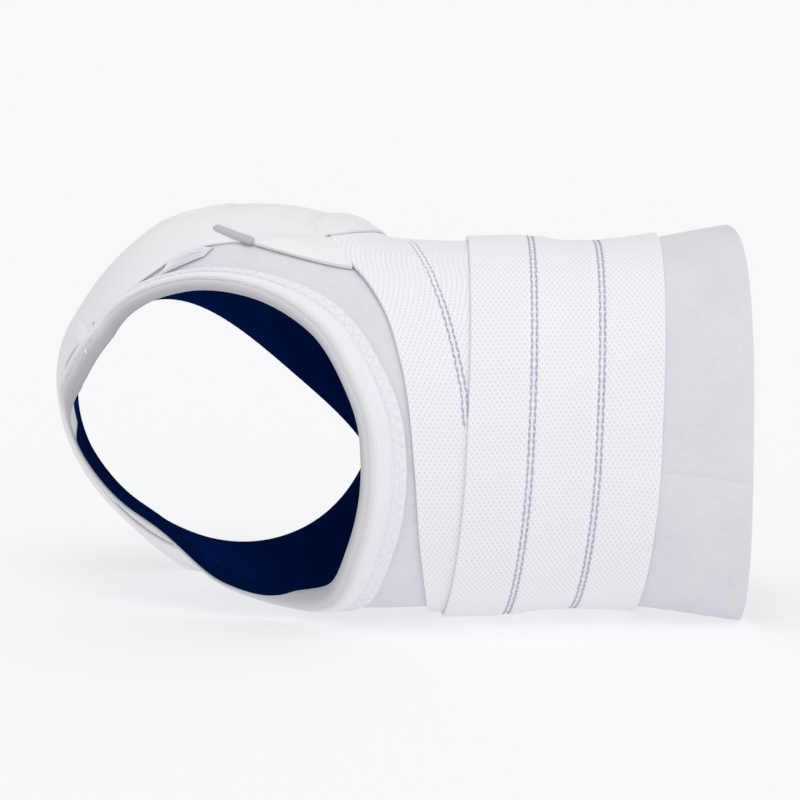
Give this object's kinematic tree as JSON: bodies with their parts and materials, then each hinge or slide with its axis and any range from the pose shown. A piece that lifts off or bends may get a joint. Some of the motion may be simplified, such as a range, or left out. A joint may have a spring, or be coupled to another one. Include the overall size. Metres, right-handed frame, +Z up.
{
  "type": "ankle brace",
  "caption": "Soft elastic ankle brace lying on its side, a felt sleeve with a wide woven leg strap, crossing straps and an open heel with a knit binding.",
  "frame": {"origin": "centre of the bounding box's base, on the surface that the brace lies on", "axes": "+X along the leg tube towards the cuff, +Y from the heel opening towards the toe opening, +Z up from the side that it lies on"},
  "size_m": [0.181, 0.1048, 0.1099],
  "materials": {
    "brushed_felt": "brushed, matt",
    "navy_lining": "matt",
    "knit_binding": "soft knit, matt",
    "woven_strap": "dotted elastic weave, matt",
    "smooth_strap": "smooth, slight sheen"
  },
  "bodies": {
    "root": {"body_shell": "brushed_felt", "lining": "navy_lining", "heel_binding": "knit_binding", "diagonal_strap": "woven_strap", "wrap_strap": "woven_strap", "foot_band": "smooth_strap", "side_tab": "smooth_strap", "toe_trim": "knit_binding", "gathered_tip": "knit_binding", "sole_tack": "knit_binding"}
  },
  "joints": []
}
